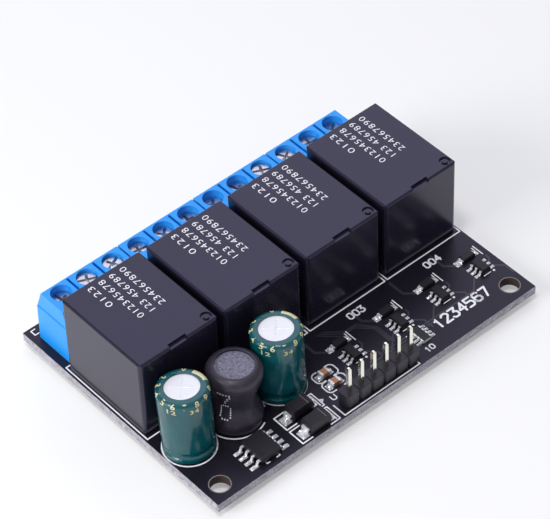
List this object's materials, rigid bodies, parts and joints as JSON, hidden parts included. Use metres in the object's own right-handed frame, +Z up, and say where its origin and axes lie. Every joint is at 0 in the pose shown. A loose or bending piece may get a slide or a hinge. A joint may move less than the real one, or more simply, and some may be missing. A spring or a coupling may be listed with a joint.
{
  "type": "relay module board",
  "caption": "Relay module board: black circuit board with a row of black cube relays, blue screw terminals behind them, and a pin header, capacitors, choke and small chips in front.",
  "frame": {"origin": "centre of the board outline in plan, level with the tips of the trimmed pins under the board", "axes": "+X along the board's long edge, +Y from the pin header towards the screw terminals, +Z up out of the component side"},
  "size_m": [0.0662, 0.0474, 0.0185],
  "materials": {
    "board_black": "black solder mask over glass laminate, satin gloss",
    "relay_black": "moulded black case, fine satin",
    "base_black": "black moulded plastic",
    "terminal_blue": "bright blue moulded plastic, semi-gloss",
    "plated_steel": "bright nickel-plated steel",
    "tinned_pin": "tin-plated brass",
    "header_pin": "bright plated brass",
    "can_aluminium": "bright aluminium",
    "sleeve_teal": "dark teal shrink sleeve, glossy",
    "bung_rubber": "black rubber",
    "ferrite": "dark grey ground ferrite",
    "copper_wire": "enamelled copper wire",
    "choke_wrap": "black shrink sleeve, satin",
    "chip_black": "black moulding compound",
    "chip_tan": "tan sintered ceramic",
    "solder": "bright reflowed solder on tinned metal",
    "print_white": "white screen print"
  },
  "bodies": {
    "root": {"circuit_board": "board_black", "relay_1_cover": "relay_black", "relay_1_base": "base_black", "relay_1_pins": "tinned_pin", "relay_2_cover": "relay_black", "relay_2_base": "base_black", "relay_2_pins": "tinned_pin", "relay_3_cover": "relay_black", "relay_3_base": "base_black", "relay_3_pins": "tinned_pin", "relay_4_cover": "relay_black", "relay_4_base": "base_black", "relay_4_pins": "tinned_pin", "terminal_1_housing": "terminal_blue", "terminal_1_cages": "plated_steel", "terminal_1_contacts": "tinned_pin", "terminal_2_housing": "terminal_blue", "terminal_2_cages": "plated_steel", "terminal_2_contacts": "tinned_pin", "terminal_3_housing": "terminal_blue", "terminal_3_cages": "plated_steel", "terminal_3_contacts": "tinned_pin", "terminal_4_housing": "terminal_blue", "terminal_4_cages": "plated_steel", "terminal_4_contacts": "tinned_pin", "terminal_screws": "plated_steel", "header_body": "base_black", "header_pins": "header_pin", "capacitor_1_can": "can_aluminium", "capacitor_1_sleeve": "sleeve_teal", "capacitor_1_bung": "bung_rubber", "capacitor_1_leads": "tinned_pin", "capacitor_2_can": "can_aluminium", "capacitor_2_sleeve": "sleeve_teal", "capacitor_2_bung": "bung_rubber", "capacitor_2_leads": "tinned_pin", "choke_core": "ferrite", "choke_winding": "copper_wire", "choke_sleeve": "choke_wrap", "choke_leads": "tinned_pin", "regulator_body": "chip_black", "regulator_leads": "solder", "rectifier_1_body": "chip_black", "rectifier_1_tabs": "solder", "rectifier_2_body": "chip_black", "rectifier_2_tabs": "solder", "chip_capacitor_1_body": "chip_tan", "chip_capacitor_1_ends": "solder", "chip_capacitor_2_body": "chip_tan", "chip_capacitor_2_ends": "solder", "driver_bodies": "chip_black", "driver_leads": "solder", "clamp_diode_bodies": "chip_black", "clamp_diode_tabs": "solder", "resistor_array_body": "chip_black", "resistor_array_contacts": "solder", "solder_joints": "solder"}
  },
  "joints": []
}
